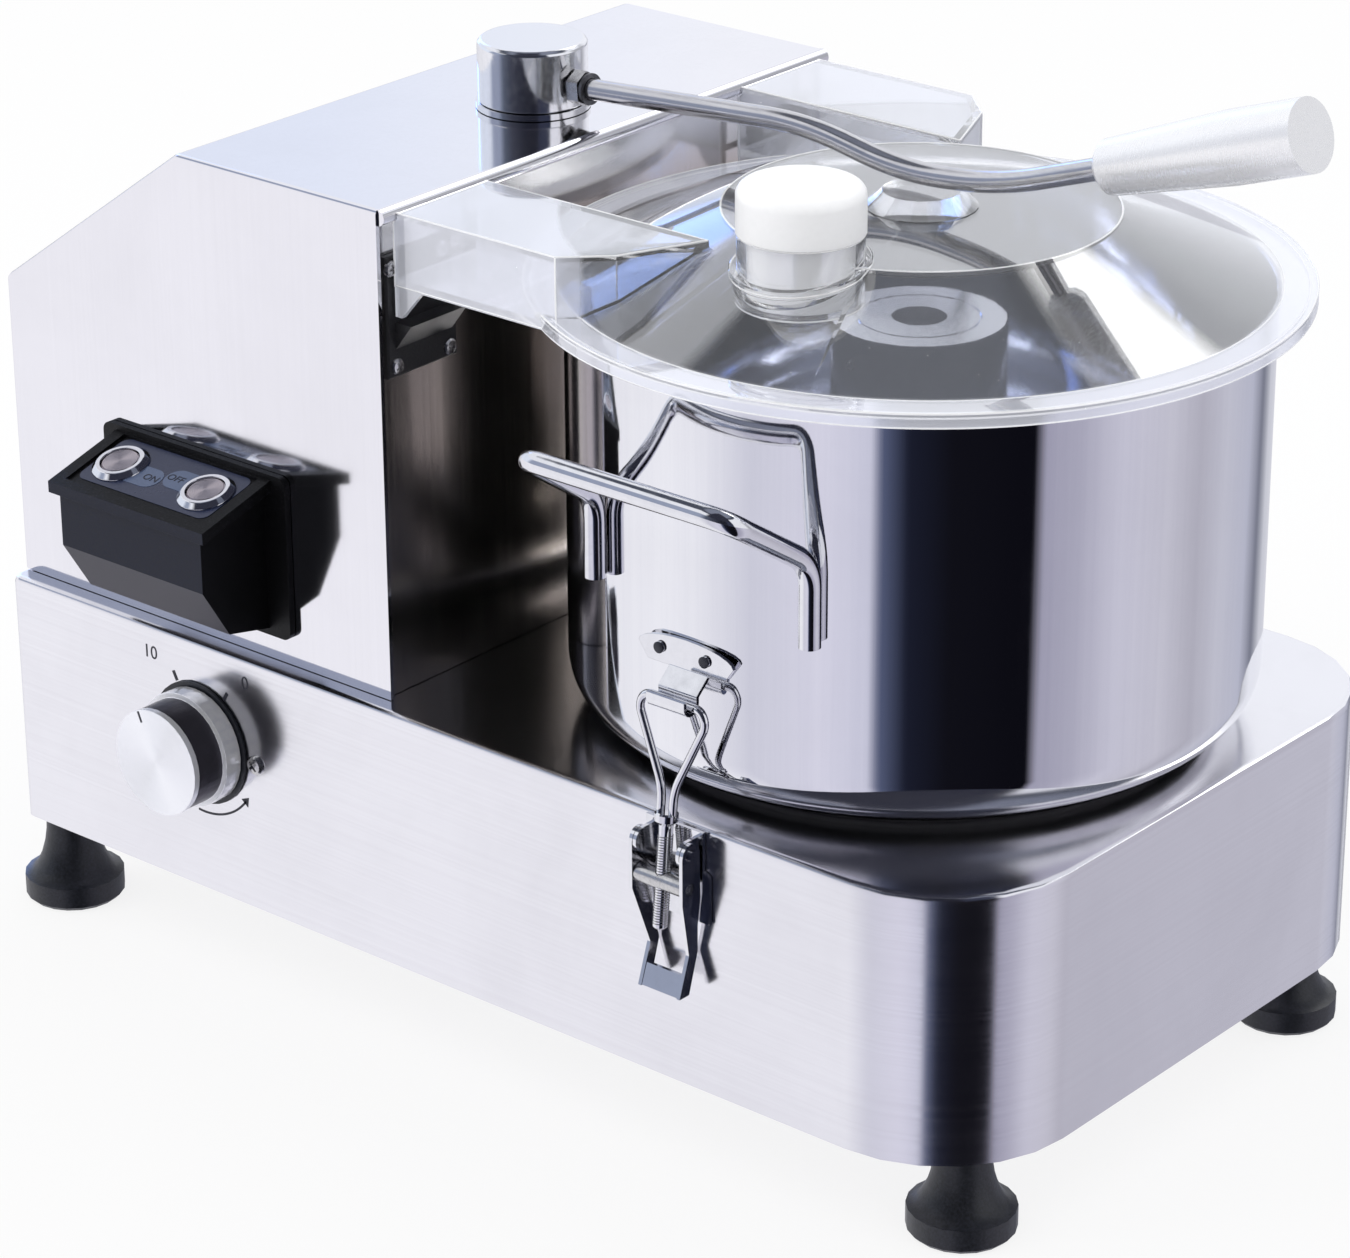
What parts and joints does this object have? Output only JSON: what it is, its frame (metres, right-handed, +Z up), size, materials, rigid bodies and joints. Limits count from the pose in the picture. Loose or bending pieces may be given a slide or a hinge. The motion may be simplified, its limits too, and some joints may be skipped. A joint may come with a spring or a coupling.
{
  "type": "meat bowl cutter",
  "caption": "Table-top meat bowl cutter: deep round steel bowl with sickle knives, clear lid with feed tube, swing-over clamping lever, toggle latches and a speed dial.",
  "frame": {"origin": "middle of the bounding box, on the plane the feet stand on", "axes": "+X from the rear wall to the bowl end and the lever grip, +Y from the control side to the far side, +Z up"},
  "size_m": [0.5762, 0.3668, 0.4421],
  "materials": {
    "mirror_steel": "polished stainless steel",
    "satin_steel": "satin stainless steel",
    "brushed_steel": "brushed, a little worn",
    "aluminium": "satin spun aluminium",
    "clear_plastic": "clear, glossy",
    "white_plastic": "matte white",
    "black_plastic": "fine-grained",
    "black_rubber": "matte",
    "grey_seal": "matte",
    "painted_iron": "semi-gloss paint",
    "cast_aluminium": "as cast",
    "circuit_board": "coated board"
  },
  "bodies": {
    "machine": {"base_plate": "satin_steel", "base_shell": "satin_steel", "bearing_housing": "cast_aluminium", "bowl": "mirror_steel", "bowl_handle_far": "mirror_steel", "bowl_handle_near": "mirror_steel", "bowl_seat_ring": "grey_seal", "cable_gland": "black_plastic", "catch_plate_far": "mirror_steel", "catch_plate_near": "mirror_steel", "control_board": "circuit_board", "control_box": "black_plastic", "drive_belt": "black_rubber", "foot_front_far": "black_rubber", "foot_front_near": "black_rubber", "foot_rear_far": "black_rubber", "foot_rear_near": "black_rubber", "housing_front_panel": "mirror_steel", "housing_shell": "satin_steel", "knob_seal": "black_rubber", "latch_bracket_far": "mirror_steel", "latch_bracket_near": "mirror_steel", "lever_bush": "satin_steel", "lid": "clear_plastic", "lid_boss": "clear_plastic", "lid_socket_far": "black_plastic", "lid_socket_near": "black_plastic", "lower_bearing": "mirror_steel", "motor": "painted_iron", "motor_bracket": "satin_steel", "potentiometer": "black_plastic", "start_bezel": "satin_steel", "start_contact_block": "black_plastic", "stop_bezel": "satin_steel", "stop_contact_block": "black_plastic", "upper_bearing": "mirror_steel"},
    "lever": {"lever_cap": "mirror_steel", "lever_nut": "mirror_steel", "lever_rod": "satin_steel", "lever_grip": "aluminium", "lever_post": "brushed_steel"},
    "pusher": {"pusher": "white_plastic"},
    "knives": {"knife_hub": "brushed_steel", "knife_lower": "mirror_steel", "knife_upper": "mirror_steel", "knife_spacer": "satin_steel", "spindle": "brushed_steel", "driven_pulley": "cast_aluminium"},
    "motor_rotor": {"motor_shaft": "brushed_steel", "motor_pulley": "cast_aluminium"},
    "start_button": {"start_button": "brushed_steel"},
    "stop_button": {"stop_button": "brushed_steel"},
    "speed_knob": {"speed_knob": "aluminium", "potentiometer_shaft": "brushed_steel"},
    "latch_lever_near": {"latch_lever_near": "mirror_steel"},
    "latch_loop_near": {"latch_loop_near": "mirror_steel", "latch_trunnion_near": "satin_steel"},
    "latch_lever_far": {"latch_lever_far": "mirror_steel"},
    "latch_loop_far": {"latch_loop_far": "mirror_steel", "latch_trunnion_far": "satin_steel"}
  },
  "joints": [
    {"name": "lever_swing", "type": "hinge", "parent": "machine", "child": "lever", "pos_m": [-0.09455, 0, 0.3681], "axis": [0, 0, 1], "range_deg": [0, 150]},
    {"name": "pusher_lift", "type": "slide", "parent": "machine", "child": "pusher", "axis": [0, 0, 1], "range_m": [0, 0.08]},
    {"name": "knives_spin", "type": "hinge", "parent": "machine", "child": "knives", "pos_m": [0.10765, 0, 0.1652], "axis": [0, 0, 1], "continuous": true},
    {"name": "motor_spin", "type": "hinge", "parent": "machine", "child": "motor_rotor", "pos_m": [-0.14505, 0, 0.052], "axis": [0, 0, 1], "continuous": true},
    {"name": "start_press", "type": "slide", "parent": "machine", "child": "start_button", "axis": [0, 0.2584, -0.966], "range_m": [0, 0.002], "stiffness_N_per_m": 600, "springref_m": -0.001},
    {"name": "stop_press", "type": "slide", "parent": "machine", "child": "stop_button", "axis": [0, 0.2584, -0.966], "range_m": [0, 0.002], "stiffness_N_per_m": 600, "springref_m": -0.001},
    {"name": "speed_knob_turn", "type": "hinge", "parent": "machine", "child": "speed_knob", "pos_m": [-0.15555, -0.149, 0.109], "axis": [0, -1, 0], "range_deg": [0, 298]},
    {"name": "latch_near_swing", "type": "hinge", "parent": "machine", "child": "latch_lever_near", "pos_m": [0.10765, -0.157, 0.1464], "axis": [-1, 0, 0], "range_deg": [0, 95]},
    {"name": "latch_near_loop", "type": "hinge", "parent": "latch_lever_near", "child": "latch_loop_near", "pos_m": [0.10765, -0.1579, 0.1324], "axis": [-1, 0, 0], "range_deg": [-81, 0.5]},
    {"name": "latch_far_swing", "type": "hinge", "parent": "machine", "child": "latch_lever_far", "pos_m": [0.10765, 0.157, 0.1464], "axis": [1, 0, 0], "range_deg": [0, 95]},
    {"name": "latch_far_loop", "type": "hinge", "parent": "latch_lever_far", "child": "latch_loop_far", "pos_m": [0.10765, 0.1579, 0.1324], "axis": [1, 0, 0], "range_deg": [-81, 0.5]}
  ],
  "couplings": [
    {"joint": "motor_spin", "follows": "knives_spin", "ratio": 2},
    {"joint": "latch_near_loop", "follows": "latch_near_swing", "ratio": -0.85},
    {"joint": "latch_far_loop", "follows": "latch_far_swing", "ratio": -0.85}
  ]
}
